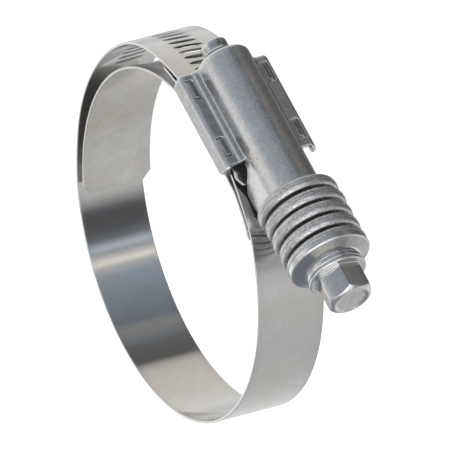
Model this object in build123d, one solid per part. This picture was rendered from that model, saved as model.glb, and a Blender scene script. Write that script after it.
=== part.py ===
from build123d import *
import os
from math import sin, cos, tan, radians, degrees, sqrt, hypot, atan2, pi

# Worm drive hose clamp with a stack of spring washers under the screw head.
# Millimetres. X runs along the screw towards its hexagon head, Z along the hose,
# Y from the hose axis up to the screw. The origin is on the hose axis, in the
# middle of the band's width. The clamp lies on its side, so +Z is up.

# ---------------------------------------------------------------- driving sizes
BAND_W = 15.875          # 5/8 inch strip
BAND_T = 0.64
BAND_R_OUT = 41.10       # free circle of the band, outer face
LINER_T = 0.64
LINER_W = 16.4           # a little wider than the band
LINER_R = 37.77          # inner face of the liner: what bears on the hose
LINER_CX, LINER_CY = 1.05, 0.07    # hose axis, from the centre of the band's circle

SLOT_PITCH = 2.45        # pitch of the worm
SLOT_LONG = 6.6
SLOT_WIDE = 1.20
SLOT_SLANT = 7.0         # degrees, follows the thread's lead
SLOT_Z = -0.2

AXIS_Y = 44.63           # screw axis, from the centre of the band's circle
HOUSING_T = 1.00
DOME_R = 6.24            # outer radius of the dome around the worm
DOME_REAR = -12.4
FLANGE_REAR, FLANGE_FRONT, LOBE_FRONT = -12.1, 12.4, 13.1
FLANGE_TOP = -0.60       # below the screw axis
FLANGE_HALF = 11.0
WALL_BOTTOM = -3.65
WALL_FLARE = 16.0        # degrees that the side walls lean outwards
NOSE_END = 24.96         # end of the tunnel that the thrust washer bears on
NOSE_BOTTOM = -8.8
WINDOWS = ((-10.25, -5.15), (5.20, 10.35))
WINDOW_Z = (8.1, 10.0)

SADDLE_T = 0.60
CHEEK_Z = (8.12, 8.98)   # the saddle's sides
TAB_Z = (8.14, 9.46)     # their tabs, spread in the windows

WASHER_R, WASHER_HOLE = 9.25, 4.75
THRUST_T = 1.40
SPRING_T = 1.44
SPRING_H = 0.30          # free cone height of one spring washer

TAIL_R, TAIL_END = 2.95, -16.9
WORM_R, WORM_FROM, WORM_TO = 3.20, -11.4, 16.0   # core of the worm, under its thread
SHANK_R = 4.30
HEAD_BACK, RIM_FRONT = 40.38, 41.84
RIM_R = 9.20
CONE_R, CONE_FRONT = 6.35, 43.1
COLLAR_R, COLLAR_FRONT = 6.40, 44.85
FACE_R, FACE_FRONT = 6.60, 45.8
HEX_AF, HEX_FRONT = 9.525, 52.4
HEX_TURN = 15.0          # a corner's angle from +Y towards +Z

os.makedirs("parts", exist_ok=True)
SHIFT = Location((-LINER_CX, -LINER_CY, 0))


def write(shape, name):
    export_step(SHIFT * shape, f"parts/{name}.step")
    print(name, round(shape.volume, 1), len(shape.solids()))


def polar(r, a, cx=0.0, cy=0.0):
    return Vector(cx + r * cos(radians(a)), cy + r * sin(radians(a)))


def arc(c, r, a0, a1):
    """Arc about c from angle a0 to a1, degrees, in a plane's own X and Y."""
    return ThreePointArc(polar(r, a0, *c), polar(r, (a0 + a1) / 2, *c), polar(r, a1, *c))


def face_of(*edges):
    return make_face(Wire(list(edges)) if len(edges) > 1 else edges[0])


def offset_points(edge, t, n):
    """Points on the face of a sheet that lies t inside the run of this edge.
    The hose is on the right of the direction of travel."""
    out = []
    for i in range(n + 1):
        p, d = edge @ (i / n), edge % (i / n)
        out.append(Vector(p.X + d.Y * t, p.Y - d.X * t))
    return out


def both_faces(points, t, n, tangents):
    """Splines for the outer and the inner face of a sheet along these outer points."""
    outer = Spline(*points, tangents=tangents)
    inner = Spline(*offset_points(outer, t, n), tangents=tangents)
    return outer, inner


def sheet(outer_edges, inner_edges, width):
    o0, o1 = outer_edges[0] @ 0, outer_edges[-1] @ 1
    i0, i1 = inner_edges[0] @ 0, inner_edges[-1] @ 1
    wire = Wire([*outer_edges, Line(o1, i1), *inner_edges, Line(i0, o0)])
    return extrude(make_face(wire), amount=width / 2, both=True)


def travel(a):
    """Direction of travel, clockwise about the ring, at polar angle a."""
    return Vector(sin(radians(a)), -cos(radians(a)))


# ------------------------------------------------------------------------- band
# One strip: its fixed end starts left of the housing, passes through the bottom
# of it, goes round the ring, and comes back over itself as the slotted run.
FIXED = [
    (-21.25, 35.08), (-18.60, 35.98), (-15.90, 36.76), (-12.0, 37.90), (-8.0, 38.85),
    (-4.0, 39.50), (0.0, 39.80), (4.0, 39.82), (8.0, 39.55), (11.8, 38.92),
    (14.4, 38.12), (17.27, 37.02), (21.3, 35.28), (24.4, 33.50),
]
JOIN_RIGHT, JOIN_LEFT = 44.0, 222.0
fixed_pts = [Vector(*p) for p in FIXED] + [polar(BAND_R_OUT, JOIN_RIGHT)]
fixed_out, fixed_in = both_faces(
    fixed_pts, BAND_T, 60, [Vector(0.94, 0.34), travel(JOIN_RIGHT)]
)
ring_out = arc((0, 0), BAND_R_OUT, JOIN_RIGHT, JOIN_LEFT - 360)
ring_in = arc((0, 0), BAND_R_OUT - BAND_T, JOIN_RIGHT, JOIN_LEFT - 360)
RUN = [
    (40.80, 206.0), (41.05, 195.0), (41.50, 178.0), (42.00, 162.5), (42.75, 147.0),
    (42.98, 138.0), (42.45, 127.5), (41.70, 117.5),
]
run_pts = (
    [polar(BAND_R_OUT, JOIN_LEFT)]
    + [polar(*p) for p in RUN]
    + [Vector(*p) for p in (
        (-15.6, 38.40), (-12.0, 39.45), (-8.0, 40.20), (-4.0, 40.60), (0.0, 40.76),
        (4.0, 40.80), (8.0, 40.82), (11.2, 40.78), (12.3, 40.58), (13.2, 40.27),
        (15.0, 39.70), (16.6, 39.22),
    )]
)
run_out, run_in = both_faces(
    run_pts, BAND_T, 110, [travel(JOIN_LEFT), Vector(0.957, -0.29)]
)
tongue = sheet([fixed_out], [fixed_in], BAND_W)
band = sheet([ring_out, run_out], [ring_in, run_in], BAND_W)

# the free tip narrows to a blunt nose, the fixed end has small round corners
tip, half = run_out @ 1, BAND_W / 2
END_R = 1.5
TIP_PLAN = [(13.85, half), (15.55, 6.85), (15.55, 4.9), (16.2, 4.3), (tip.X + 0.1, 3.2)]
for s in (1, -1):
    side = make_face(
        Polyline(*[(x, s * z) for x, z in TIP_PLAN], (19, s * 3.2), (19, s * 10),
                 (13.85, s * 10), close=True)
    )
    band -= Pos(0, 41.5, 0) * Rot(90, 0, 0) * extrude(side, amount=4)
    end = Pos(FIXED[0][0] + END_R - 0.1, FIXED[0][1], s * (half - END_R)) * (
        Pos(-END_R / 2 - 0.5, 0, s * (END_R / 2 + 0.5)) * Box(END_R + 1, 4, END_R + 1)
        - Rot(90, 0, 0) * Cylinder(END_R, 5)
    )
    tongue -= end
band += tongue

# slots, stepped along the run from one that stands at a known angle
N = 4000
walk = [run_out @ (i / N) for i in range(N + 1)]
length = [0.0]
for p, q in zip(walk, walk[1:]):
    length.append(length[-1] + hypot(q.X - p.X, q.Y - p.Y))
start = min(range(N + 1), key=lambda i: abs(
    (degrees(atan2(walk[i].Y, walk[i].X)) % 360) - 125.24))
S0, S_END = length[start], length[-1]
hl, hw = SLOT_LONG / 2, SLOT_WIDE / 2
slot_shape = make_hull([
    *(Pos(x, 0) * Circle(r).edge() for x, r in (
        (-hl + 0.32, 0.32), (-hl * 0.5, hw), (hl * 0.5, hw), (hl - 0.32, 0.32),
    ))
])
slots, k = [], -13
while True:
    s = S0 + k * SLOT_PITCH
    k += 1
    if s > S_END - 2.6:
        break
    i = min(range(N), key=lambda j: abs(length[j] - s))
    p, d = walk[i], (walk[i + 1] - walk[i]).normalized()
    n = Vector(-d.Y, d.X, 0)
    lean = radians(SLOT_SLANT)
    along = Vector(-d.X * sin(lean), -d.Y * sin(lean), cos(lean))
    plane = Plane(origin=(p.X, p.Y, SLOT_Z), x_dir=along, z_dir=n)
    slots.append(extrude(plane * slot_shape, amount=1.0, both=True))
band = band.cut(*slots)
write(band, "band")

# ------------------------------------------------------------------------ liner
# A loose strip under the housing that carries the hose across the gap in the ring.
LEFT_A, BLEND_A = 217.6, 76.0
LC = (LINER_CX, LINER_CY)
right_outer = [
    polar(LINER_R + LINER_T, BLEND_A, *LC), Vector(12.04, 36.98), Vector(14.10, 36.42),
    Vector(16.04, 35.76), Vector(21.19, 33.66), Vector(24.46, 31.73),
]
lr_out, lr_in = both_faces(
    right_outer, LINER_T, 30, [travel(BLEND_A), Vector(0.855, -0.518)]
)
liner = sheet(
    [arc(LC, LINER_R + LINER_T, LEFT_A, BLEND_A), lr_out],
    [arc(LC, LINER_R, LEFT_A, BLEND_A), lr_in],
    LINER_W,
)
end_l = polar(LINER_R + LINER_T / 2, LEFT_A, *LC)
dl = travel(LEFT_A)
nose = Plane(origin=(end_l.X, end_l.Y, 0), x_dir=(dl.X, dl.Y, 0), z_dir=(-dl.Y, dl.X, 0))
NEAR_R, liner_half = 2.6, LINER_W / 2
# plane's Y is Z x X: work out which way it points
s_up = 1 if nose.y_dir.Z > 0 else -1
near = Pos(NEAR_R, s_up * (liner_half - NEAR_R), 0) * (
    Pos(-NEAR_R / 2 - 0.5, s_up * (NEAR_R / 2 + 0.5), 0) * Box(NEAR_R + 1, NEAR_R + 1, 4)
    - Cylinder(NEAR_R, 5)
)
far = Pos(0, -s_up * liner_half, 0) * Rot(0, 0, 45) * Box(2.8, 2.8, 4)
liner -= nose.location * near
liner -= nose.location * far
write(liner, "liner")

# ---------------------------------------------------------------------- housing
# Stamped sheet: a dome over the worm, a flange each side that turns down past the
# band, and a tunnel that reaches forward to the washers.
t = HOUSING_T
YZ = Plane.YZ            # plane X is Y, plane Y is Z, pulled along X
BEND = 1.2               # reverse bend between dome and flange, outer face
CORNER = 1.3             # bend between flange and side wall, outer face
cy = FLANGE_TOP + BEND
cz = sqrt((DOME_R + BEND) ** 2 - cy ** 2)


def hat(gap):
    """Upper face of the hat section (gap 0) or its lower face (gap t), from +Z to -Z."""
    r, bend, corner = DOME_R - gap, BEND + gap, CORNER - gap
    top, wall = FLANGE_TOP - gap, FLANGE_HALF - gap
    cc = (FLANGE_TOP - CORNER, FLANGE_HALF - CORNER)
    a = degrees(atan2(cz, cy))
    lean = radians(WALL_FLARE)
    foot = (cc[0] + corner * sin(lean), cc[1] + corner * cos(lean))
    drop = foot[0] - WALL_BOTTOM
    half_edges = [
        ((WALL_BOTTOM, foot[1] + drop * tan(lean)), foot),
        (cc, corner, 90 - WALL_FLARE, 0),
        ((top, cc[1]), (top, cz)),
        ((cy, cz), bend, 180, 180 + a),
    ]
    right, left = [], []
    for e in half_edges:
        if len(e) == 2:
            right.append(Line(*e))
            left.append(Line((e[1][0], -e[1][1]), (e[0][0], -e[0][1])))
        else:
            c, rr, a0, a1 = e
            right.append(arc(c, rr, a0, a1))
            left.append(arc((c[0], -c[1]), rr, -a1, -a0))
    return right + [arc((0, 0), r, a, -a)] + left[::-1]


upper, lower = hat(0), hat(t)
bottoms = [
    Line(upper[-1] @ 1, lower[-1] @ 1),
    Line(lower[0] @ 0, upper[0] @ 0),
]
hat_face = make_face(Wire([*upper, *lower, *bottoms]))
ax = Pos(0, AXIS_Y, 0)
shell = ax * Pos(FLANGE_REAR, 0, 0) * extrude(YZ * hat_face, amount=LOBE_FRONT - FLANGE_REAR)

# outline of the flanges from above, then of the side walls from the side
OUT = FLANGE_HALF + 0.7
plan = Pos((FLANGE_REAR + LOBE_FRONT) / 2, AXIS_Y, 0) * Box(
    LOBE_FRONT - FLANGE_REAR, 40, 2 * OUT
)
plan = fillet(plan.edges().filter_by(Axis.Y).group_by(Axis.X)[0], 2.1)
shell &= plan
side = Pos((FLANGE_REAR + LOBE_FRONT) / 2, AXIS_Y + WALL_BOTTOM + 6, 0) * Box(
    LOBE_FRONT - FLANGE_REAR, 12, 2 * OUT + 2
)
side = fillet(side.edges().filter_by(Axis.Z).group_by(Axis.Y)[0].group_by(Axis.X)[0], 0.9)
side = fillet(side.edges().filter_by(Axis.Z).group_by(Axis.Y)[0].group_by(Axis.X)[-1], 1.3)
shell &= side
FRONT_CUT = Pos((FLANGE_FRONT + 15) / 2, AXIS_Y, 0) * Box(15 - FLANGE_FRONT, 40, 2 * 9.9)
FRONT_CUT = fillet(FRONT_CUT.edges().filter_by(Axis.Y).group_by(Axis.X)[0], 0.5)
shell -= FRONT_CUT
for s in (1, -1):
    for x0, x1 in WINDOWS:
        w = Pos((x0 + x1) / 2, AXIS_Y - 1.2, s * (WINDOW_Z[0] + WINDOW_Z[1]) / 2) * Box(
            x1 - x0, 3.4, WINDOW_Z[1] - WINDOW_Z[0]
        )
        shell -= fillet(w.edges().filter_by(Axis.Y), 0.45)

# the tunnel: an inverted U that closes underneath at its front end
CURL = 2.6


def tunnel_face(gap):
    r, c = DOME_R - gap, CURL - gap
    z, bottom = DOME_R - gap, NOSE_BOTTOM + gap
    k = (NOSE_BOTTOM + CURL, DOME_R - CURL)
    return make_face(
        Wire([
            arc((0, 0), r, 90, -90),
            Line((0, -z), (k[0], -z)),
            arc((k[0], -k[1]), c, -90, -180),
            Line((bottom, -k[1]), (bottom, k[1])),
            arc(k, c, 180, 90),
            Line((k[0], z), (0, z)),
        ])
    )


tunnel = extrude(YZ * tunnel_face(0), amount=NOSE_END - DOME_REAR) - extrude(
    YZ * tunnel_face(t), amount=NOSE_END - DOME_REAR
)
tunnel = fillet(tunnel.faces().sort_by(Axis.X)[0].outer_wire().edges(), 0.45)
tunnel = ax * Pos(DOME_REAR, 0, 0) * tunnel
below = Polyline(
    (DOME_REAR - 1, 0.52), (FLANGE_FRONT - 0.4, 0.52), (FLANGE_FRONT - 0.4, -1.5),
    (13.9, -1.5), (14.5, -2.3), (15.25, -4.1), (15.80, -5.0), (16.5, -6.2), (17.25, -7.1),
    (18.4, -7.6), (21.7, -8.25), (22.8, -8.75), (24.2, -9.2), (24.2, -14),
    (DOME_REAR - 1, -14), close=True,
)
tunnel -= ax * extrude(make_face(below), amount=20, both=True)
tunnel -= ax * Pos(20, -9, 0) * Box(16, 3, 0.7)
housing = shell + tunnel
write(housing, "housing")

# ----------------------------------------------------------------------- saddle
# A plate under the band's fixed end, with four tabs that stand up into the windows.
SX0, SX1 = -11.2, 11.7


def under(x, drop):
    """Point on the fixed run's inner face at x, moved down by drop along the normal."""
    lo, hi = 0.0, 0.6
    for _ in range(50):
        m = (lo + hi) / 2
        if (fixed_out @ m).X < x:
            lo = m
        else:
            hi = m
    p, d = fixed_out @ lo, fixed_out % lo
    return Vector(p.X + d.Y * drop, p.Y - d.X * drop)


GAP = 0.03
xs = [SX0 + (SX1 - SX0) * i / 12 for i in range(13)]
top_edge = Spline(*[under(x, BAND_T + GAP) for x in xs])
bot_edge = Spline(*[under(x, BAND_T + GAP + SADDLE_T) for x in xs])
plate_face = make_face(
    Wire([
        top_edge, Line(top_edge @ 1, bot_edge @ 1), bot_edge, Line(bot_edge @ 0, top_edge @ 0),
    ])
)
saddle = extrude(plate_face, amount=CHEEK_Z[1], both=True)
CHEEK_TOP = AXIS_Y + FLANGE_TOP - HOUSING_T - 0.04
TAB_TOP = AXIS_Y + FLANGE_TOP + 0.12
rim = [under(x, BAND_T + GAP + SADDLE_T * 0.6) for x in xs]
cheek_face = make_face(
    Wire([
        Spline(*rim), Line(rim[-1], (SX1, CHEEK_TOP)), Line((SX1, CHEEK_TOP), (SX0, CHEEK_TOP)),
        Line((SX0, CHEEK_TOP), rim[0]),
    ])
)
cheek = Pos(0, 0, CHEEK_Z[0]) * extrude(cheek_face, amount=CHEEK_Z[1] - CHEEK_Z[0])
saddle += [cheek, mirror(cheek, Plane.XY)]
for x0, x1 in WINDOWS:
    a0, a1 = x0 + 0.35, x1 - 0.35
    for s in (1, -1):
        root = CHEEK_TOP - 0.0
        tab = Pos((a0 + a1) / 2, (root + TAB_TOP) / 2, s * (TAB_Z[0] + TAB_Z[1]) / 2) * Box(
            a1 - a0, TAB_TOP - root, TAB_Z[1] - TAB_Z[0]
        )
        tab = fillet(
            [e for e in tab.edges().filter_by(Axis.Z) if e.center().Y > TAB_TOP - 0.01], 0.8
        )
        saddle += tab
write(saddle, "saddle")

# ------------------------------------------------------------------------ screw
def revolve_x(points, smooth=()):
    """Solid turned about the screw axis from (x, radius) points."""
    profile = make_face(Polyline(*points, close=True))
    for where, r in smooth:
        v = min(profile.vertices(), key=lambda q: hypot(q.X - where[0], q.Y - where[1]))
        profile = fillet(v, r)
    return Pos(0, AXIS_Y, 0) * revolve(profile, Axis.X)


screw = revolve_x(
    [
        (TAIL_END, 0), (TAIL_END, TAIL_R - 0.45), (TAIL_END + 0.45, TAIL_R),
        (WORM_FROM, TAIL_R), (WORM_FROM, WORM_R), (WORM_TO, WORM_R),
        (WORM_TO + 0.5, SHANK_R), (HEAD_BACK, SHANK_R), (HEAD_BACK, RIM_R),
        (RIM_FRONT, RIM_R), (CONE_FRONT, CONE_R + 0.25), (CONE_FRONT + 0.35, CONE_R),
        (COLLAR_FRONT - 0.15, COLLAR_R), (COLLAR_FRONT - 0.05, COLLAR_R - 0.45),
        (COLLAR_FRONT + 0.20, COLLAR_R - 0.45), (COLLAR_FRONT + 0.30, FACE_R),
        (FACE_FRONT, FACE_R), (FACE_FRONT, 0),
    ],
    smooth=[
        ((HEAD_BACK, RIM_R), 0.30), ((RIM_FRONT, RIM_R), 0.35),
        ((FACE_FRONT, FACE_R), 0.35),
    ],
)
corner_r = HEX_AF / sqrt(3)
hexagon = Polyline(
    *[
        (corner_r * cos(radians(HEX_TURN + 60 * i)), corner_r * sin(radians(HEX_TURN + 60 * i)))
        for i in range(6)
    ],
    close=True,
)
head = Pos(FACE_FRONT - 0.2, AXIS_Y, 0) * extrude(
    YZ * make_face(hexagon), amount=HEX_FRONT - FACE_FRONT + 0.2
)
# the corners are turned off in a cone, and the end face is slightly dished
crown = revolve_x(
    [
        (FACE_FRONT - 1, 0), (FACE_FRONT - 1, 6.4), (HEX_FRONT - 0.95, 6.4),
        (HEX_FRONT - 0.95, corner_r + 0.12), (HEX_FRONT - 0.18, 4.72), (HEX_FRONT, 4.35),
        (HEX_FRONT, 0),
    ],
    smooth=[((HEX_FRONT - 0.18, 4.72), 0.35)],
)
head &= crown
dish_r = (3.6 ** 2 + 0.22 ** 2) / (2 * 0.22)
head -= Pos(HEX_FRONT - 0.22 + dish_r, AXIS_Y, 0) * Sphere(dish_r)
screw += head
write(screw, "screw")

# ---------------------------------------------------------------------- washers
def ring(rim_x, thick, rise):
    """A washer whose rim's rear face is at rim_x, and whose bore stands rise further on."""
    p = make_face(
        Polyline(
            (rim_x, WASHER_R), (rim_x + thick, WASHER_R),
            (rim_x + rise + thick, WASHER_HOLE), (rim_x + rise, WASHER_HOLE), close=True,
        )
    )
    p = fillet(p.vertices(), 0.22)
    return Pos(0, AXIS_Y, 0) * revolve(p, Axis.X)


write(ring(NOSE_END, THRUST_T, 0.0), "thrust_washer")
# washers 1, 3, 5 and 7 have their bores forward, the others theirs to the rear, so
# that rims meet in pairs and bores meet between the pairs
h = SPRING_H
step = 2 * (SPRING_T + h)
first = NOSE_END + THRUST_T + 0.02
rims = []
for i in range(4):
    rims += [first + i * (step + 0.02), first + i * (step + 0.02) + SPRING_T + 2 * h + 0.01]
for i, x in enumerate(rims):
    write(ring(x, SPRING_T, h if i % 2 == 0 else -h), f"spring_washer_{i + 1}")
    print("  rim from", round(x, 3), "to", round(x + SPRING_T, 3))
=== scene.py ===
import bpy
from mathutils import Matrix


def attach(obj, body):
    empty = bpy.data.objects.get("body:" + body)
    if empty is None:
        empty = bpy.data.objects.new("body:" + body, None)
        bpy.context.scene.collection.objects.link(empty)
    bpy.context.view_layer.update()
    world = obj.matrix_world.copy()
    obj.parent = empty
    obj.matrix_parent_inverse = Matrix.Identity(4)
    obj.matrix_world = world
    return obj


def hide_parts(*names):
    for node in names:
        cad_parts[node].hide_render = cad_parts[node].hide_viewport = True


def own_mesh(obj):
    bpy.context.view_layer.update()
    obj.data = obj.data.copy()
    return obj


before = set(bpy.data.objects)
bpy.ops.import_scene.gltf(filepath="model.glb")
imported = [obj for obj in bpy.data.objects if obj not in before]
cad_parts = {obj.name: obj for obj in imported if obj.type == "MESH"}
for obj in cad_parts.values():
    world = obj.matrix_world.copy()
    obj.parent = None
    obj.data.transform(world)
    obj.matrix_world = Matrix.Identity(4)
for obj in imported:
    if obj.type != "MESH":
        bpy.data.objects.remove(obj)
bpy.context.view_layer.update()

import math
import bpy
import numpy as np
from mathutils import Matrix, Vector
from mathutils.geometry import delaunay_2d_cdt

# Worm drive hose clamp. Lengths are in millimetres from the centre of the band's
# circle until mesh() puts them in metres from the hose axis. X runs along the screw
# towards its hexagon, Y up to the screw, Z across the strip.
OX, OY = 1.05, 0.07
AXIS_Y = 44.63
BAND_W, BAND_T, BAND_R = 15.875, 0.64, 41.10
LINER_W, LINER_T, LINER_R = 16.4, 0.64, 37.77
PITCH = 2.45


# ------------------------------------------------------------------ mesh helpers
def unit(a):
    a = np.asarray(a, float)
    return a / np.maximum(np.linalg.norm(a, axis=-1, keepdims=True), 1e-12)


def mesh(name, verts, faces, normals, uv, material, edge=None):
    """Mesh object from mm points, with smooth normals at its points and a uv in mm."""
    verts, normals = np.asarray(verts, float), unit(normals)
    turned = []
    for f in faces:
        p = verts[list(f)]
        n = np.cross(p[1] - p[0], p[2] - p[0])
        if len(f) == 4:
            n = np.cross(p[2] - p[0], p[3] - p[1])
        turned.append(tuple(f) if n @ normals[list(f)].sum(0) >= 0 else tuple(f)[::-1])
    me = bpy.data.meshes.new(name)
    me.from_pydata(((verts - [OX, OY, 0]) / 1000).tolist(), [], turned)
    me.polygons.foreach_set("use_smooth", np.ones(len(me.polygons), bool))
    index = np.zeros(len(me.loops), np.int32)
    me.loops.foreach_get("vertex_index", index)
    layer = me.uv_layers.new(name="strip")
    layer.data.foreach_set("uv", np.asarray(uv, float)[index].astype(np.float32).ravel())
    if edge is not None:
        a = me.attributes.new("edge", "FLOAT", "POINT")
        a.data.foreach_set("value", np.asarray(edge, np.float32))
    me.update()
    me.normals_split_custom_set_from_vertices(normals.tolist())
    me.materials.append(material)
    ob = bpy.data.objects.new(name, me)
    bpy.context.scene.collection.objects.link(ob)
    return ob


def refine(poly, step):
    out = []
    for a, b in zip(poly, np.roll(poly, -1, axis=0)):
        n = max(1, int(math.ceil(np.linalg.norm(b - a) / step)))
        out += [a + (b - a) * i / n for i in range(n)]
    return np.array(out)


def rounded(points, radii, seg=5):
    """Closed polygon with its corners rounded."""
    p = [np.array(q, float) for q in points]
    if not hasattr(radii, "__len__"):
        radii = [radii] * len(p)
    out = []
    for i, q in enumerate(p):
        a, b, r = p[i - 1], p[(i + 1) % len(p)], radii[i]
        if r <= 0:
            out.append(q)
            continue
        u, v = unit(a - q), unit(b - q)
        half = math.acos(max(-1, min(1, float(u @ v)))) / 2
        d = min(r / math.tan(half), 0.49 * np.linalg.norm(a - q), 0.49 * np.linalg.norm(b - q))
        r = d * math.tan(half)
        c = q + unit(u + v) * r / math.sin(half)
        s, e = q + u * d - c, q + v * d - c
        a0 = math.atan2(s[1], s[0])
        turn = (math.atan2(e[1], e[0]) - a0 + math.pi) % (2 * math.pi) - math.pi
        out += [c + r * np.array([math.cos(a0 + turn * k / seg), math.sin(a0 + turn * k / seg)])
                for k in range(seg + 1)]
    return np.array(out)


def area(poly):
    x, y = np.asarray(poly).T
    return 0.5 * float(np.sum(x * np.roll(y, -1) - y * np.roll(x, -1)))


def miters(poly):
    """For a counter-clockwise outline or a clockwise hole: steps out of the material."""
    d1 = unit(poly - np.roll(poly, 1, axis=0))
    d2 = unit(np.roll(poly, -1, axis=0) - poly)
    n1, n2 = np.stack([d1[:, 1], -d1[:, 0]], 1), np.stack([d2[:, 1], -d2[:, 0]], 1)
    return (n1 + n2) / np.maximum(1 + (n1 * n2).sum(1, keepdims=True), 0.35)


def inside(p, poly):
    x, y = p[:, 0][:, None], p[:, 1][:, None]
    a, b = poly, np.roll(poly, -1, axis=0)
    cross = (a[:, 1] > y) != (b[:, 1] > y)
    dy = np.where(b[:, 1] == a[:, 1], 1e-12, b[:, 1] - a[:, 1])
    at = a[:, 0] + (y - a[:, 1]) * (b[:, 0] - a[:, 0]) / dy
    return ((cross & (x < at)).sum(1) % 2).astype(bool)


def fill(loops, du, dv, near=0.4):
    """Triangles inside loops[0] and outside the others, with a grid of inner points."""
    lo, hi = loops[0].min(0), loops[0].max(0)
    nu, nv = max(1, int((hi[0] - lo[0]) / du)), max(1, int((hi[1] - lo[1]) / dv))
    g = np.stack(np.meshgrid(
        np.linspace(lo[0], hi[0], nu + 1)[1:-1], np.linspace(lo[1], hi[1], nv + 1)[1:-1],
        indexing="ij"), -1).reshape(-1, 2)
    keep = np.zeros(len(g), bool)
    every = np.concatenate(loops)
    for i in range(0, len(g), 4000):
        q = g[i:i + 4000]
        k = inside(q, loops[0])
        for h in loops[1:]:
            k &= ~inside(q, h)
        d = np.sqrt(((q[:, None] - every[None]) ** 2).sum(2)).min(1)
        keep[i:i + 4000] = k & (d > near * min(du, dv))
    pts, edges, n = [Vector(v) for v in every], [], 0
    for l in loops:
        edges += [(n + i, n + (i + 1) % len(l)) for i in range(len(l))]
        n += len(l)
    pts += [Vector(v) for v in g[keep]]
    out, _, faces, *_ = delaunay_2d_cdt(pts, edges, [], 0, 1e-7)
    out = np.array([tuple(v) for v in out])
    if len(out) != len(pts):
        raise ValueError("the outline crosses itself")
    tris = np.array([f for f in faces])
    mid = out[tris].mean(1)
    ok = np.zeros(len(mid), bool)
    for i in range(0, len(mid), 8000):
        q = mid[i:i + 8000]
        k = inside(q, loops[0])
        for h in loops[1:]:
            k &= ~inside(q, h)
        ok[i:i + 8000] = k
    return out, tris[ok], n


def strip_of_metal(loops, surf, t, rim, du, dv, seg=3, shift=160.0):
    """A sheet of thickness t below surf, bounded by the loops, with rounded edges: rim
    gives how far a rounding reaches in, how deep it goes from above and from below.
    Gives points, faces, normals, uv and how near each point is to an edge."""
    loops = [l if (area(l) > 0) == (i == 0) else l[::-1] for i, l in enumerate(loops)]
    m = [miters(l) for l in loops]
    kk = [np.broadcast_to(rim(l, i) if callable(rim) else rim, (len(l), 3))
          for i, l in enumerate(loops)]
    ins = [l - q * k[:, :1] for l, q, k in zip(loops, m, kk)]
    P2, tris, nb = fill(ins, du, dv)
    X, N, Tu, Tv = surf(P2)
    n = len(P2)
    V, NN = [X, X - t * N], [N, -N]
    UV, E = [P2, P2 + [shift, 0]], [np.zeros(n), np.zeros(n)]
    E[0][:nb] = E[1][:nb] = 0.6
    F = [tuple(f) for f in tris] + [tuple(f + n) for f in tris]
    base, start = 2 * n, 0
    for l, q, k in zip(loops, m, kk):
        c = len(l)
        at = slice(start, start + c)
        x, nn = X[at], N[at]
        M = Tu[at] * q[:, :1] + Tv[at] * q[:, 1:]
        B = unit(M)
        reach, over, under = k[:, :1], k[:, 1:2], k[:, 2:]
        rows = [np.arange(start, start + c)]
        for side in (0, 1):
            steps = range(1, seg + 1) if side == 0 else range(seg, 0, -1)
            for j in steps:
                a = math.pi / 2 * j / seg
                out, down = math.sin(a), 1 - math.cos(a)
                if side == 0:
                    p = x + M * reach * out - nn * over * down
                    w = nn * math.cos(a) / over + B * out / reach
                else:
                    p = x - t * nn + M * reach * out + nn * under * down
                    w = B * out / reach - nn * math.cos(a) / under
                V.append(p)
                NN.append(w)
                UV.append(P2[at] + q * reach * out + [0, side * 0.3])
                E.append(np.ones(c))
                rows.append(np.arange(base, base + c))
                base += c
        rows.append(np.arange(n + start, n + start + c))
        for a, b in zip(rows, rows[1:]):
            F += [(a[i], a[(i + 1) % c], b[(i + 1) % c], b[i]) for i in range(c)]
        start += c
    return np.concatenate(V), F, np.concatenate(NN), np.concatenate(UV), np.concatenate(E)


def clamped(points, t0, t1, per=14):
    """Dense points along the smooth curve through these, with these end directions."""
    P = np.array(points, float)
    h = np.linalg.norm(np.diff(P, axis=0), axis=1)
    n = len(P)
    A, R = np.zeros((n, n)), np.zeros((n, 2))
    s = np.diff(P, axis=0) / h[:, None]
    A[0, :2], R[0] = [2 * h[0], h[0]], 6 * (s[0] - unit(t0))
    A[-1, -2:], R[-1] = [h[-1], 2 * h[-1]], 6 * (unit(t1) - s[-1])
    for i in range(1, n - 1):
        A[i, i - 1:i + 2] = [h[i - 1], 2 * (h[i - 1] + h[i]), h[i]]
        R[i] = 6 * (s[i] - s[i - 1])
    M = np.linalg.solve(A, R)
    out = []
    for i in range(n - 1):
        k = per if i < n - 2 else per + 1
        x = (np.arange(k) / per * h[i])[:, None]
        a, b = M[i], M[i + 1]
        out.append(P[i] + x * (s[i] - h[i] * (2 * a + b) / 6) + x ** 2 * a / 2
                   + x ** 3 * (b - a) / (6 * h[i]))
    return np.concatenate(out)


def on_circle(r, a, cx=0.0, cy=0.0):
    a = np.radians(a)
    return np.stack([cx + r * np.cos(a), cy + r * np.sin(a)], -1)


def heading(a):
    return np.array([math.sin(math.radians(a)), -math.cos(math.radians(a))])


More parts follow.
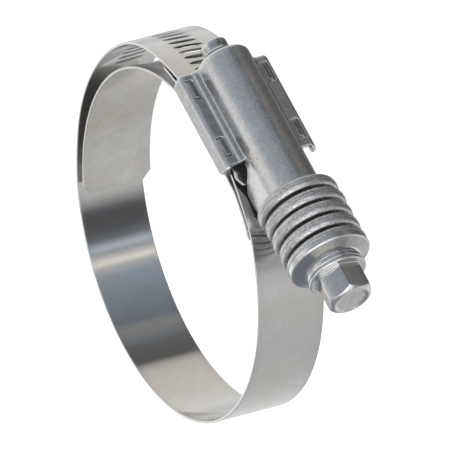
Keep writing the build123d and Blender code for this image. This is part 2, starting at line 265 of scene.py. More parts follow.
class Path:
    """A curve in the XY plane, by length; the hose is on the right of its direction."""

    def __init__(self, pts):
        keep = np.concatenate([[True], np.linalg.norm(np.diff(pts, axis=0), axis=1) > 1e-6])
        self.p = pts[keep]
        d = np.diff(self.p, axis=0)
        self.s = np.concatenate([[0], np.cumsum(np.linalg.norm(d, axis=1))])
        mid = unit(d)
        self.d = unit(np.concatenate([mid[:1], unit(mid[1:] + mid[:-1]), mid[-1:]]))
        self.length = float(self.s[-1])

    def at(self, s):
        p = np.stack([np.interp(s, self.s, self.p[:, i]) for i in (0, 1)], -1)
        d = unit(np.stack([np.interp(s, self.s, self.d[:, i]) for i in (0, 1)], -1))
        return p, d

    def surf(self, P2):
        p, d = self.at(P2[:, 0])
        z = np.zeros((len(P2), 1))
        return (np.concatenate([p, P2[:, 1:]], 1),
                np.concatenate([-d[:, 1:], d[:, :1], z], 1),
                np.concatenate([d, z], 1), np.tile([0.0, 0.0, 1.0], (len(P2), 1)))


# --------------------------------------------------------------------- materials
def node_mat(name):
    m = bpy.data.materials.new(name)
    m.use_nodes = True
    nt = m.node_tree
    return m, nt, nt.nodes["Principled BSDF"]


class G:
    """Short names for the nodes of one material."""

    def __init__(self, nt):
        self.nt = nt

    def node(self, kind, **props):
        n = self.nt.nodes.new(kind)
        for k, v in props.items():
            setattr(n, k, v)
        return n

    def link(self, a, b):
        self.nt.links.new(a, b)

    def uv(self, scale):
        n = self.node("ShaderNodeUVMap", uv_map="strip")
        m = self.node("ShaderNodeMapping")
        m.inputs["Scale"].default_value = scale
        self.link(n.outputs[0], m.inputs[0])
        return m.outputs[0]

    def obj(self, scale):
        n = self.node("ShaderNodeTexCoord")
        m = self.node("ShaderNodeMapping")
        m.inputs["Scale"].default_value = scale
        self.link(n.outputs["Object"], m.inputs[0])
        return m.outputs[0]

    def noise(self, co, scale, detail=3.0, rough=0.5, distort=0.0):
        n = self.node("ShaderNodeTexNoise")
        n.inputs["Scale"].default_value = scale
        n.inputs["Detail"].default_value = detail
        n.inputs["Roughness"].default_value = rough
        n.inputs["Distortion"].default_value = distort
        self.link(co, n.inputs["Vector"])
        return n.outputs["Fac"]

    def ramp(self, fac, stops, mode="LINEAR"):
        n = self.node("ShaderNodeValToRGB")
        n.color_ramp.interpolation = mode
        e = n.color_ramp.elements
        while len(e) < len(stops):
            e.new(0.5)
        for el, (pos, col) in zip(e, stops):
            el.position = pos
            el.color = (*col, 1) if hasattr(col, "__len__") else (col, col, col, 1)
        self.link(fac, n.inputs[0])
        return n.outputs[0]

    def span(self, fac, a, b, lo, hi, clamp=True):
        n = self.node("ShaderNodeMapRange", clamp=clamp)
        for i, v in enumerate((a, b, lo, hi), 1):
            n.inputs[i].default_value = v
        self.link(fac, n.inputs[0])
        return n.outputs[0]

    def math(self, op, a, b):
        n = self.node("ShaderNodeMath", operation=op)
        for i, v in enumerate((a, b)):
            if hasattr(v, "is_output"):
                self.link(v, n.inputs[i])
            else:
                n.inputs[i].default_value = v
        return n.outputs[0]

    def mix(self, fac, a, b, kind="MIX"):
        n = self.node("ShaderNodeMix", data_type="RGBA", blend_type=kind)
        for s, v in ((n.inputs[0], fac), (n.inputs[6], a), (n.inputs[7], b)):
            if hasattr(v, "is_output"):
                self.link(v, s)
            else:
                s.default_value = (*v, 1) if hasattr(v, "__len__") else v
        return n.outputs[2]

    def attr(self, name):
        return self.node("ShaderNodeAttribute", attribute_name=name).outputs["Fac"]

    def bump(self, height, strength, distance, normal=None):
        n = self.node("ShaderNodeBump")
        n.inputs["Strength"].default_value = strength
        n.inputs["Distance"].default_value = distance
        self.link(height, n.inputs["Height"])
        if normal is not None:
            self.link(normal, n.inputs["Normal"])
        return n.outputs[0]


def steel(name, tone, rough, grain, grain_scale, mottle=0.05, mottle_scale=300,
          pits=0.0, scratch=0.0, aniso=0.0, edge_tone=0.10, bump=0.1, speckle=0.0,
          speck=2300, patina=0.05, metal=0.98, wave=0.0):
    """Rolled, stamped or turned stainless steel. grain is how strong the lines along the
    strip are; grain_scale stretches them, along u and across it, per millimetre."""
    m, nt, bsdf = node_mat(name)
    g = G(nt)
    bsdf.inputs["Metallic"].default_value = metal
    lines = g.noise(g.uv((grain_scale[0], grain_scale[1], 1)), 1.0, 4.0, 0.62)
    broad = g.noise(g.uv((grain_scale[0] * 0.35, grain_scale[1] * 0.16, 1)), 1.0, 3.0, 0.5)
    cloud = g.noise(g.obj((1, 1, 1)), mottle_scale, 4.0, 0.6, 0.6)
    fine = g.noise(g.obj((1, 1, 1)), mottle_scale * 9, 3.0, 0.6)
    dark = tuple(c * (1 - mottle * 2) for c in tone)
    light = tuple(min(1, c * (1 + mottle)) for c in tone)
    colour = g.mix(g.span(cloud, 0.32, 0.68, 0, 1), dark, light)
    colour = g.mix(g.span(lines, 0.3, 0.7, 0, grain * 0.6), colour,
                   tuple(c * 0.72 for c in tone))
    stain = g.noise(g.obj((1, 1, 1)), 70, 4.0, 0.65, 1.2)
    colour = g.mix(g.span(stain, 0.42, 0.72, 0, 1), colour,
                   tuple(c * (1 - patina * k) for c, k in zip(tone, (1.0, 1.5, 2.3))))
    # Positive edge values shift the colour by edge_tone and roughen it: edge wear, and on the saddle,
    # with its large edge_tone, a painted highlight.
    edge_wear_and_highlight = g.math("MULTIPLY", g.attr("edge"), g.span(fine, 0.3, 0.7, 0.5, 1.0))
    colour = g.mix(g.math("MULTIPLY", edge_wear_and_highlight, min(1.0, abs(edge_tone) * 6)), colour,
                   tuple(min(1, c * (1 + edge_tone)) for c in tone))
    # Negative edge values darken the colour towards 30 % of the tone: painted shade, set on the band,
    # the housing's fold, the screw's tail, cone and hexagon.
    colour = g.mix(g.span(g.attr("edge"), -1.0, 0.0, 1, 0), colour,
                   tuple(c * 0.30 for c in tone))
    if speckle:
        grit = g.noise(g.obj((1, 1, 1)), speck, 2.0, 0.7)
        patch = g.noise(g.obj((1, 1, 1)), speck * 0.28, 3.0, 0.6)
        shade = g.math("ADD", g.span(grit, 0.30, 0.70, -speckle, speckle, False),
                       g.span(patch, 0.30, 0.70, -speckle * 0.4, speckle * 0.4, False))
        shade = g.math("ADD", shade, 1.0)
        mul = g.node("ShaderNodeVectorMath", operation="SCALE")
        g.link(colour, mul.inputs[0])
        g.link(shade, mul.inputs["Scale"])
        colour = mul.outputs[0]
    g.link(colour, bsdf.inputs["Base Color"])
    r = g.math("ADD", g.span(lines, 0.25, 0.75, rough * 0.8, rough * 1.2),
               g.span(cloud, 0.3, 0.7, -rough * 0.18, rough * 0.22))
    r = g.math("ADD", r, g.math("MULTIPLY", edge_wear_and_highlight, 0.16))
    height = g.math("ADD", g.math("MULTIPLY", lines, grain),
                    g.math("MULTIPLY", broad, grain * 0.5))
    if pits:
        dots = g.noise(g.obj((1, 1, 1)), mottle_scale * 14, 2.0, 0.5)
        dots = g.ramp(dots, [(0.30, 0.0), (0.42, 1.0)])
        height = g.math("ADD", height, g.math("MULTIPLY", dots, pits))
        lumps = g.noise(g.obj((1, 1, 1)), mottle_scale * 4, 3.0, 0.55)
        height = g.math("ADD", height, g.math("MULTIPLY", lumps, pits * 1.2))
    if scratch:
        v = g.node("ShaderNodeTexVoronoi", feature="DISTANCE_TO_EDGE")
        v.inputs["Scale"].default_value = 1.0
        g.link(g.uv((0.10, 0.9, 1)), v.inputs["Vector"])
        s = g.ramp(v.outputs["Distance"], [(0.0, 1.0), (0.012, 0.0)])
        gate = g.ramp(g.noise(g.uv((0.25, 0.25, 1)), 1.0, 2.0), [(0.5, 0.0), (0.6, 1.0)])
        s = g.math("MULTIPLY", s, gate)
        height = g.math("SUBTRACT", height, g.math("MULTIPLY", s, scratch))
        r = g.math("ADD", r, g.math("MULTIPLY", s, 0.1))
    if speckle:
        height = g.math("ADD", height, g.math("MULTIPLY", grit, speckle * 8))
        r = g.math("ADD", r, g.span(grit, 0.3, 0.7, speckle * 0.25, -speckle * 0.25))
    g.link(r, bsdf.inputs["Roughness"])
    normal = g.bump(height, bump, 0.00005)
    if wave:
        swell = g.noise(g.obj((1, 1, 1)), 75, 2.0, 0.5, 0.5)
        normal = g.bump(swell, 1.0, wave / 1000, normal)
    g.link(normal, bsdf.inputs["Normal"])
    if aniso:
        bsdf.inputs["Anisotropic"].default_value = aniso
        bsdf.inputs["Anisotropic Rotation"].default_value = 0.25
        tan = g.node("ShaderNodeTangent", direction_type="UV_MAP", uv_map="strip")
        g.link(tan.outputs[0], bsdf.inputs["Tangent"])
    return m


BAND = steel("band_steel", (0.66, 0.655, 0.645), 0.055, 0.35, (0.02, 9.0), mottle=0.02,
             mottle_scale=220, scratch=0.2, edge_tone=-0.16, bump=0.10, speckle=0.035,
             metal=0.95, wave=0.03)
LINER = steel("liner_steel", (0.62, 0.615, 0.60), 0.20, 0.25, (0.03, 7.0), mottle=0.05,
              mottle_scale=110, edge_tone=-0.14, bump=0.10, speckle=0.05, speck=1700,
              patina=0.13, metal=0.86, wave=0.14)
HOUSING = steel("housing_steel", (0.60, 0.60, 0.605), 0.20, 0.15, (0.05, 3.0), mottle=0.05,
                mottle_scale=260, pits=1.2, scratch=0.5, edge_tone=0.25, bump=0.36,
                speckle=0.10)
# Painted shade and painted highlight: the saddle's tone is kept very dark so its tabs in the housing's
# windows read as shaded, and its large edge_tone paints bright highlights along their edges.
SADDLE = steel("saddle_steel", (0.225, 0.225, 0.23), 0.26, 0.8, (3.0, 1.2), mottle=0.10,
               mottle_scale=420, pits=1.4, edge_tone=1.4, bump=0.5, speckle=0.25)
WASHER = steel("washer_steel", (0.515, 0.515, 0.52), 0.20, 0.3, (0.5, 4.0), mottle=0.07,
               mottle_scale=420, pits=2.6, edge_tone=0.25, bump=0.50,
               speckle=0.24, speck=1900)
SCREW = steel("screw_steel", (0.63, 0.63, 0.64), 0.12, 0.2, (0.2, 6.0), mottle=0.05,
              mottle_scale=300, pits=0.5, edge_tone=0.25, bump=0.25, speckle=0.12)

# -------------------------------------------------------------------------- band
FIXED = [
    (-21.25, 35.08), (-18.60, 35.98), (-15.90, 36.76), (-12.0, 37.90), (-8.0, 38.85),
    (-4.0, 39.50), (0.0, 39.80), (4.0, 39.82), (8.0, 39.55), (11.8, 38.92),
    (14.4, 38.12), (17.27, 37.02), (21.3, 35.28), (24.4, 33.50),
]
JOIN_RIGHT, JOIN_LEFT = 44.0, 222.0
RUN = [
    (40.80, 206.0), (41.05, 195.0), (41.50, 178.0), (42.00, 162.5), (42.75, 147.0),
    (42.98, 138.0), (42.45, 127.5), (41.70, 117.5),
]
TIP = [
    (-15.6, 38.40), (-12.0, 39.45), (-8.0, 40.20), (-4.0, 40.60), (0.0, 40.76),
    (4.0, 40.80), (8.0, 40.82), (11.2, 40.78), (12.3, 40.58), (13.2, 40.27),
    (15.0, 39.70), (16.6, 39.22),
]
fixed = clamped([*FIXED, on_circle(BAND_R, JOIN_RIGHT)], (0.94, 0.34), heading(JOIN_RIGHT))
round_part = on_circle(BAND_R, np.linspace(JOIN_RIGHT, JOIN_LEFT - 360, 200))
run = clamped(
    [on_circle(BAND_R, JOIN_LEFT), *[on_circle(*q) for q in RUN], *TIP],
    heading(JOIN_LEFT), (0.957, -0.29), per=18)
band_path = Path(np.concatenate([fixed, round_part[1:], run[1:]]))
run_path = Path(run)
run_start = band_path.length - run_path.length
half = BAND_W / 2
tip_x = np.interp
L = band_path.length


def along_run(x):
    """Length along the strip at which the slotted run's end part reaches this x."""
    i = len(run) - 14 * 18
    return run_start + float(np.interp(x, run_path.p[-220:, 0], run_path.s[-220:]))


outline = rounded(
    [(0, -half), (along_run(13.85), -half), (along_run(15.55), -6.85),
     (along_run(15.55), -4.9), (along_run(16.2), -4.3), (L, -3.2), (L, 3.2),
     (along_run(16.2), 4.3), (along_run(15.55), 4.9), (along_run(15.55), 6.85),
     (along_run(13.85), half), (0, half)],
    [1.5, 0.4, 0.5, 0.3, 0.5, 1.2, 1.2, 0.5, 0.3, 0.5, 0.4, 1.5], seg=5)


def slot_outline(s, z, long=6.6, wide=1.2, lean=7.0):
    """One lens-like slot, across the strip and leaning with the thread."""
    h, w = long / 2, wide / 2
    pts = []
    for i in range(28):
        a = 2 * math.pi * i / 28
        c, q = math.cos(a), math.sin(a)
        pts.append((h * c, w * math.copysign(abs(q) ** 0.85, q)))
    t = math.radians(lean)
    return np.array([(s - x * math.sin(t) + y * math.cos(t), z + x * math.cos(t) + y * math.sin(t))
                     for x, y in pts])


angle = np.degrees(np.arctan2(run_path.p[:, 1], run_path.p[:, 0])) % 360
first_slot = float(run_path.s[np.argmin(np.abs(angle - 125.24))])
loops = [refine(outline, 1.3)]
k = -13
while first_slot + k * PITCH <= run_path.length - 2.6:
    loops.append(slot_outline(run_start + first_slot + k * PITCH, -0.2))
    k += 1
v, f, n, uv, e = strip_of_metal(loops, band_path.surf, BAND_T, (0.13, 0.13, 0.13), 1.25, 1.9)
# Painted shade on the band's outer face: darkened along its first 13 mm, under and behind the
# housing's rear, and nearly black where the housing's nose hangs over it.
rear_end_shade = (e < 0.9) & (uv[:, 0] < 13.0) & (n[:, 1] > 0)
e = np.where(rear_end_shade, -0.60 * np.clip((13.0 - uv[:, 0]) / 2, 0, 1), e)
shaded = (e < 0.9) & (uv[:, 0] > 30) & (uv[:, 0] < 45.5) & (n[:, 1] > 0)
e = np.where(shaded, -0.98 * np.clip((45.5 - uv[:, 0]) / 2.6, 0, 1), e)
# the run's far edge stands in a little where it leaves the circle
phi_v = np.degrees(np.arctan2(v[:, 1], v[:, 0])) % 360
bow = np.clip(1 - np.abs(phi_v - 174) / 16, 0, 1) * np.clip((-4 - v[:, 2]) / 3.5, 0, 1)
v[:, 2] += 0.45 * bow * bow * (3 - 2 * bow)
band = mesh("band_strip", v, f, n, uv, BAND, e)

# ------------------------------------------------------------------------- liner
LEFT_A, BLEND_A = 217.6, 76.0
LC = (OX, OY)
arc_part = on_circle(LINER_R + LINER_T, np.linspace(LEFT_A, BLEND_A, 150), *LC)
right_part = clamped(
    [arc_part[-1], (12.04, 36.98), (14.29, 36.92), (16.29, 36.35), (21.52, 34.28),
     (24.83, 32.31)], heading(BLEND_A), (0.855, -0.518))
liner_path = Path(np.concatenate([arc_part, right_part[1:]]))
lh, Ll = LINER_W / 2, liner_path.length
liner_outline = rounded(
    [(0, -lh + 1.98), (1.98, -lh), (Ll, -lh), (Ll, lh), (0, lh)],
    [0.3, 0.3, 0.8, 0.8, 2.6], seg=7)
v, f, n, uv, e = strip_of_metal(
    [refine(liner_outline, 1.3)], liner_path.surf, LINER_T, (0.13, 0.13, 0.13), 1.3, 1.9)
# the loose end dips a little away from the near edge
dx, dy = v[:, 0] - OX, v[:, 1] - OY
phi_v = np.degrees(np.arctan2(dy, dx)) % 360
dip = np.clip(1 - np.abs(phi_v - 142) / 26, 0, 1) * np.clip((7.2 - v[:, 2]) / 4.0, 0, 1)
dip = 0.55 * dip * dip * (3 - 2 * dip) / np.hypot(dx, dy)
v[:, 0] -= dip * dx
v[:, 1] -= dip * dy
liner = mesh("inner_liner", v, f, n, uv, LINER, e)


# ----------------------------------------------------------------------- housing
HT = 1.0
DOME_R, CORNER = 6.24, 1.3
TOP, FHALF, FLARE, WALL = -0.60, 11.0, 16.0, -3.65
FRONT, LOBE, REAR, DOME_REAR, NOSE = 12.4, 13.1, -12.1, -12.4, 24.96
NOSE_BOTTOM, CURL = -8.8, 2.6


class Section:
    """Half a section, from the dome's top outwards, by length: Y, Z and normal."""

    def __init__(self, y, z=0.0):
        self.rows = [(0.0, y, z, 0.0)]

    def turn(self, r, to):
        w, y, z, a = self.rows[-1]
        to = math.radians(to)
        s = 1 if to > a else -1
        n = max(2, int(abs(to - a) * 24 / math.pi) + 1)
        for i in range(1, n + 1):
            b = a + (to - a) * i / n
            self.rows.append((w + r * abs(b - a), y + s * r * (math.cos(b) - math.cos(a)),
                              z + s * r * (math.sin(b) - math.sin(a)), b))
        return self

    def line(self, length):
        w, y, z, a = self.rows[-1]
        self.rows.append((w + length, y - length * math.sin(a), z + length * math.cos(a), a))
        return self

    def done(self):
        self.t = np.array(self.rows)
        return self

    def __call__(self, w):
        s, w = np.sign(w), np.abs(w)
        y, z, a = (np.interp(w, self.t[:, 0], self.t[:, i]) for i in (1, 2, 3))
        return np.stack([y, s * z, np.cos(a), s * np.sin(a)], 1)


hat = Section(DOME_R).turn(DOME_R, 58).turn(3.2, 78).line(2.243)
hat.turn(0.35, -6).turn(0.22, 66).turn(0.16, 4).line(0.30).turn(0.22, 68).turn(0.25, 0)
hat.line(0.001)
TOP_SHIFT = TOP - hat.rows[-1][1]
hat = Section(DOME_R).turn(DOME_R, 58).turn(3.2, 78).line(
    2.243 - TOP_SHIFT / math.sin(math.radians(78)))
hat.turn(0.35, -6).turn(0.22, 66).turn(0.16, 4).line(0.30).turn(0.22, 68).turn(0.25, 0)
flat_w, flat_z = hat.rows[-1][0], hat.rows[-1][2]
hat.line(FHALF - CORNER - flat_z).turn(CORNER, 90 - FLARE)
foot_y = hat.rows[-1][1]
hat.line((foot_y - WALL) / math.cos(math.radians(FLARE))).done()
corner_w, w5 = flat_w + FHALF - CORNER - flat_z, hat.rows[-1][0]
tube = Section(DOME_R).turn(DOME_R, 90)
q1 = tube.rows[-1][0]
tube.line(-(NOSE_BOTTOM + CURL))
q2 = tube.rows[-1][0]
tube.turn(CURL, 180)
q3 = tube.rows[-1][0]
tube.line(DOME_R - CURL - 0.35).done()
q4 = tube.rows[-1][0]
SLIT = 9.86


def housing_surf(P2):
    x, w = P2[:, 0], P2[:, 1]
    t = np.clip((x - 12.0) / 1.0, 0, 1)
    t = t * t * (3 - 2 * t)
    lobe = (np.abs(w) > 12.0) & (x < 13.6)
    beyond = ((x > 12.5) & ~lobe).astype(float)
    near = np.clip((SLIT - 0.35 - np.abs(w)) / 0.3, 0, 1)
    t = np.where(np.abs(w) > SLIT - 0.35, beyond, t * near + beyond * (1 - near))
    q = hat(w) * (1 - t)[:, None] + tube(w) * t[:, None]
    X = np.stack([x, AXIS_Y + q[:, 0], q[:, 1]], 1)
    N = unit(np.stack([0 * x, q[:, 2], q[:, 3]], 1))
    Tu = np.tile([1.0, 0.0, 0.0], (len(P2), 1))
    return X, N, Tu, np.cross(N, Tu) * -1


def w_of_y(y):
    return q1 - y if y >= NOSE_BOTTOM + CURL else q2 + CURL * math.asin(
        min(1.0, (NOSE_BOTTOM + CURL - y) / CURL))


def w_of_z(z):
    return flat_w + z - flat_z if z <= FHALF - CORNER else corner_w + CORNER * math.asin(
        (z - FHALF + CORNER) / CORNER)


side = [  # from the rear round the near side to the nose, as (x, w, radius)
    (DOME_REAR, 7.6, 3.0), (REAR, 10.4, 3.0), (REAR, w_of_z(9.6) + 1.3, 2.0),
    (REAR + 0.9, w5, 1.1), (LOBE, w5, 1.3), (LOBE, w_of_z(9.95), 0.6),
    (FRONT, w_of_z(9.75), 0.5), (FRONT, SLIT, 0.0), (FRONT + 0.2, SLIT, 0.0),
    (FRONT + 0.2, w_of_y(-1.5), 0.35), (13.9, w_of_y(-1.5), 0.6), (14.5, w_of_y(-2.3), 0.8),
    (15.25, w_of_y(-4.1), 1.0), (15.80, w_of_y(-5.0), 1.0), (16.5, w_of_y(-6.2), 1.0),
    (17.25, w_of_y(-7.1), 0.8), (18.4, w_of_y(-7.6), 1.0), (21.7, w_of_y(-8.25), 1.0),
    (22.8, w_of_y(-8.75), 0.8), (23.1, q3 + 0.6, 0.5), (23.1, q4, 0.4), (NOSE, q4, 0.3),
]
pts = [(x, w) for x, w, r in side] + [(x, -w) for x, w, r in side[::-1]]
rad = [r for x, w, r in side] + [r for x, w, r in side[::-1]]
housing_outline = rounded(pts, rad, seg=6)
loops = [refine(housing_outline, 0.7)]
for x0, x1 in ((-10.25, -5.15), (5.20, 10.35)):
    for s in (1, -1):
        a, b = w_of_z(8.1), w_of_z(10.0)
        loops.append(refine(rounded(
            [(x0, s * a), (x1, s * a), (x1, s * b), (x0, s * b)], 0.55, seg=5), 0.6))


def housing_rim(l, i):
    """Sheared edges, drawn over further at the rear and at the front lobes."""
    out = np.tile([0.16, 0.16, 0.16], (len(l), 1))
    if i == 0:
        x, w = l[:, 0], np.abs(l[:, 1])
        rear = np.clip((-11.0 - x) / 0.9, 0, 1)
        lobe = np.clip((x - 12.6) / 0.4, 0, 1) * (w > corner_w) * (x < 13.5)
        out += rear[:, None] * [0.74, 0.40, 0.08] + lobe[:, None] * [0.22, 0.30, 0.06]
    return out


v, f, n, uv, e = strip_of_metal(loops, housing_surf, HT, housing_rim, 0.8, 0.50)
# painted shade darkening the fold beside the dome
fold = np.clip(1 - np.abs(np.abs(uv[:, 1]) - 8.9) / 0.9, 0, 1)
fold *= np.clip((uv[:, 0] + 12.0) / 1.5, 0, 1) * np.clip((12.3 - uv[:, 0]) / 0.8, 0, 1)
e = np.where(e == 0, -0.34 * fold ** 0.7, e)
housing = mesh("screw_housing", v, f, n, uv, HOUSING, e)

# ------------------------------------------------------------------------ saddle
SADDLE_T, SADDLE_X = 0.60, (-11.2, 11.7)
fixed_path = Path(fixed)
s0, s1 = (float(np.interp(x, fixed_path.p[:, 0], fixed_path.s)) for x in SADDLE_X)


def saddle_surf(P2):
    X, N, Tu, Tv = fixed_path.surf(P2)
    return X - (BAND_T + 0.03) * N, N, Tu, Tv


def upright(z0):
    def surf(P2):
        n = len(P2)
        return (np.stack([P2[:, 0], P2[:, 1], np.full(n, z0)], 1),
                np.tile([0.0, 0.0, 1.0], (n, 1)), np.tile([1.0, 0.0, 0.0], (n, 1)),
                np.tile([0.0, 1.0, 0.0], (n, 1)))
    return surf


def level(y0):
    def surf(P2):
        n = len(P2)
        return (np.stack([P2[:, 0], np.full(n, y0), P2[:, 1]], 1),
                np.tile([0.0, 1.0, 0.0], (n, 1)), np.tile([1.0, 0.0, 0.0], (n, 1)),
                np.tile([0.0, 0.0, 1.0], (n, 1)))
    return surf


parts = [strip_of_metal(
    [refine(rounded([(s0, -8.98), (s1, -8.98), (s1, 8.98), (s0, 8.98)], 0.6), 1.2)],
    saddle_surf, SADDLE_T, (0.12, 0.12, 0.12), 1.5, 2.0)]
cheek_top = AXIS_Y + TOP - HT - 0.04
xs = np.linspace(SADDLE_X[0], SADDLE_X[1], 16)
ps, ds = fixed_path.at(np.interp(xs, fixed_path.p[:, 0], fixed_path.s))
low_line = ps + np.stack([ds[:, 1], -ds[:, 0]], 1) * (BAND_T + 0.03 + 0.25)
cheek = np.concatenate([low_line, [[SADDLE_X[1], cheek_top], [SADDLE_X[0], cheek_top]]])
tab_top = AXIS_Y + TOP + 0.12
for s in (1, -1):
    parts.append(strip_of_metal(
        [refine(cheek, 0.9)], upright(8.98 if s > 0 else -8.12), 0.86,
        (0.12, 0.12, 0.12), 1.2, 1.0))
    for x0, x1 in ((-9.90, -5.50), (5.55, 10.00)):
        tab = rounded([(x0, s * 8.14), (x1, s * 8.14), (x1, s * 9.46), (x0, s * 9.46)],
                      [0.35, 0.45, 0.55, 0.45] if s > 0 else 0.45, seg=5)
        parts.append(strip_of_metal([refine(tab, 0.5)], level(tab_top),
                                    tab_top - cheek_top + 0.05, (0.17, 0.20, 0.1), 0.5, 0.4))
v, f, n, uv, e, k = [], [], [], [], [], 0
for q in parts:
    v.append(q[0])
    f += [tuple(i + k for i in face) for face in q[1]]
    n.append(q[2])
    uv.append(q[3])
    e.append(q[4])
    k += len(q[0])
saddle = mesh("saddle_plate", np.concatenate(v), f, np.concatenate(n), np.concatenate(uv),
              SADDLE, np.concatenate(e))


# ------------------------------------------------------------------ turned pieces
def profile(points, radii, closed, seg=4, guard=0.06):
    """Points and normals of a rounded profile. guard is not used."""
    p = [np.array(q, float) for q in points]
    n = len(p)
    out, nor = [], []
    turn = 1 if area(points) > 0 else -1

    def right(d):
        return np.array([d[1], -d[0]]) * turn

    for i, q in enumerate(p):
        ends = not closed and i in (0, n - 1)
        a, b = p[i - 1], p[(i + 1) % n]
        if ends:
            d = unit(b - q) if i == 0 else unit(q - a)
            out.append(q)
            nor.append(right(d))
            continue
        r = radii[i] if hasattr(radii, "__len__") else radii
        d1, d2 = unit(q - a), unit(b - q)
        if r <= 0:
            r = 0.02
        u, v = -d1, d2
        ha = math.acos(max(-1, min(1, float(u @ v)))) / 2
        if ha > math.pi / 2 - 0.02:
            out.append(q)
            nor.append(unit(right(d1) + right(d2)))
            continue
        dd = min(r / math.tan(ha), 0.49 * np.linalg.norm(a - q), 0.49 * np.linalg.norm(b - q))
        n1, n2 = right(d1), right(d2)
        s, e = q + u * dd, q + v * dd
        rr = dd * math.tan(ha)
        c = q + unit(u + v) * rr / math.sin(ha)
        a0, a1 = math.atan2(*(s - c)[::-1]), math.atan2(*(e - c)[::-1])
        t = (a1 - a0 + math.pi) % (2 * math.pi) - math.pi
        for k in range(seg + 1):
            w = a0 + t * k / seg
            out.append(c + rr * np.array([math.cos(w), math.sin(w)]))
            nor.append(unit(n1 * (1 - k / seg) + n2 * (k / seg)))
    return np.array(out), np.array(nor)


def turned(name, prof, nor, closed, material, count=144, edge=None, off=0.0):
    a = np.arange(count) * 2 * math.pi / count
    c, s = np.cos(a), np.sin(a)
    m = len(prof)
    V = np.stack([
        np.repeat(prof[:, 0], count), AXIS_Y + np.outer(prof[:, 1], c).ravel(),
        off + np.outer(prof[:, 1], s).ravel()], 1)
    NN = np.stack([
        np.repeat(nor[:, 0], count), np.outer(nor[:, 1], c).ravel(),
        np.outer(nor[:, 1], s).ravel()], 1)
    length = np.concatenate([[0], np.cumsum(np.linalg.norm(np.diff(prof, axis=0), axis=1))])
    UV = np.stack([np.tile(a * 9, m), np.repeat(length, count)], 1)
    F = []
    for i in range(m if closed else m - 1):
        j = (i + 1) % m
        F += [(i * count + k, i * count + (k + 1) % count, j * count + (k + 1) % count,
               j * count + k) for k in range(count)]
    E = np.repeat(edge if edge is not None else np.zeros(m), count)
    return mesh(name, V, F, NN, UV, material, E)


WASHER_R, WASHER_HOLE, THRUST_T, SPRING_T, SPRING_H = 9.25, 4.75, 1.40, 1.44, 0.30


def washer(name, x, thick, rise, open_rear, open_front, off):
    """Drawn edges: well rounded towards a gap, nearly square where two washers meet."""
    def edge(at, way, wide):
        if not wide:
            return [(at, WASHER_R)], [0.12]
        return ([(at + way * 0.04, WASHER_R - 0.95), (at + way * 0.10, WASHER_R - 0.50),
                 (at + way * 0.38, WASHER_R - 0.20), (at + way * 0.86, WASHER_R - 0.05)],
                [0.3, 0.25, 0.5, 1.0])
    p0, r0 = edge(x, 1, open_rear)
    p1, r1 = edge(x + thick, -1, open_front)
    p, q = profile([*p0, *p1[::-1], (x + rise + thick, WASHER_HOLE), (x + rise, WASHER_HOLE)],
                   [*r0, *r1[::-1], 0.18, 0.18], True, seg=6)
    e = np.where(p[:, 1] > WASHER_R - 0.24, 0.25, np.where(p[:, 1] > WASHER_R - 0.6, 0.7, 0.0))
    return turned(name, p, q, True, WASHER, edge=e, off=off)


HANG = (0.30, 0.06, 0.06, 0.17, 0.17, 0.08, 0.08, 0.0)   # loose washers sit off the axis
thrust = washer("flat_washer", NOSE, THRUST_T, 0.0, True, False, 0.30)
step = 2 * (SPRING_T + SPRING_H)
first = NOSE + THRUST_T + 0.02
springs = []
for i in range(8):
    x = first + (i // 2) * (step + 0.02) + (i % 2) * (SPRING_T + 2 * SPRING_H + 0.01)
    springs.append((washer(f"cone_washer_{i + 1}", x, SPRING_T, SPRING_H * (1 - 2 * (i % 2)),
                           i % 2 == 1, i % 2 == 0, HANG[i]), x))

# ------------------------------------------------------------------------- screw
TAIL_R, TAIL_END = 2.95, -16.9
WORM_R, WORM_FROM, WORM_TO, CREST = 3.20, -11.4, 16.0, 3.78
SHANK_R, HEAD_BACK, RIM_FRONT, RIM_R = 4.30, 40.38, 41.84, 9.20
CONE_R, CONE_FRONT, COLLAR_R, COLLAR_FRONT = 6.35, 43.1, 6.40, 44.85
FACE_R, FACE_FRONT, HEX_AF, HEX_FRONT, HEX_TURN = 6.60, 45.8, 9.525, 52.4, 15.0
corner_r = HEX_AF / math.sqrt(3)

count = 180
phi = np.arange(count) * 2 * math.pi / count
# more lines near the hexagon's corners
for _ in range(2):
    off = (np.degrees(phi) - HEX_TURN + 30) % 60 - 30
    phi = phi - np.radians(off) * 0.45 * np.exp(-(off / 14) ** 2)
c_phi, s_phi = np.cos(phi), np.sin(phi)
hexr = HEX_AF / 2 / np.cos(np.radians((np.degrees(phi) - HEX_TURN) % 60 - 30))
hexr = -0.22 * np.log(np.exp(-hexr / 0.22) + np.exp(-(corner_r - 0.08) / 0.22))
hexr *= (HEX_AF / 2) / hexr.min()

rows = []   # (x for each line, radius for each line, edge)


def row(x, r, e=0.0):
    rows.append((np.broadcast_to(x, count), np.broadcast_to(r, count), e))


tail, _ = profile(
    [(TAIL_END, 0), (TAIL_END, TAIL_R), (WORM_FROM, TAIL_R)], [0, 0.45, 0], False, seg=5)
row(TAIL_END, 0.001)
row(TAIL_END, 1.5)
for x, r in tail[1:-1]:
    row(x, r, 0.6)
# Painted shade: negative edge values darken the tail a little and the groove beside the bead much
# more.
row(TAIL_END + 1.2, TAIL_R, -0.35)
row(-14.62, TAIL_R, -0.35)
for x, r, q in ((-14.55, 2.98, 0), (-14.50, 3.02, 0.3), (-14.33, 3.22, 0.3), (-14.12, 3.50, 0.3),
                (-14.02, 3.60, 0.3), (-13.92, 3.60, 0), (-13.84, 3.52, -0.4),
                (-13.78, 3.40, -0.9), (-13.70, 3.22, -0.9), (-13.6, 3.15, -0.9),
                (-13.1, 3.15, -0.9), (-12.9, 3.9, -0.5), (-12.5, 4.0, 0), (-11.9, 4.0, 0),
                (-11.7, 3.7, 0)):
    row(x, r, q)
row(WORM_FROM - 0.02, WORM_R)
turns = phi / (2 * math.pi)
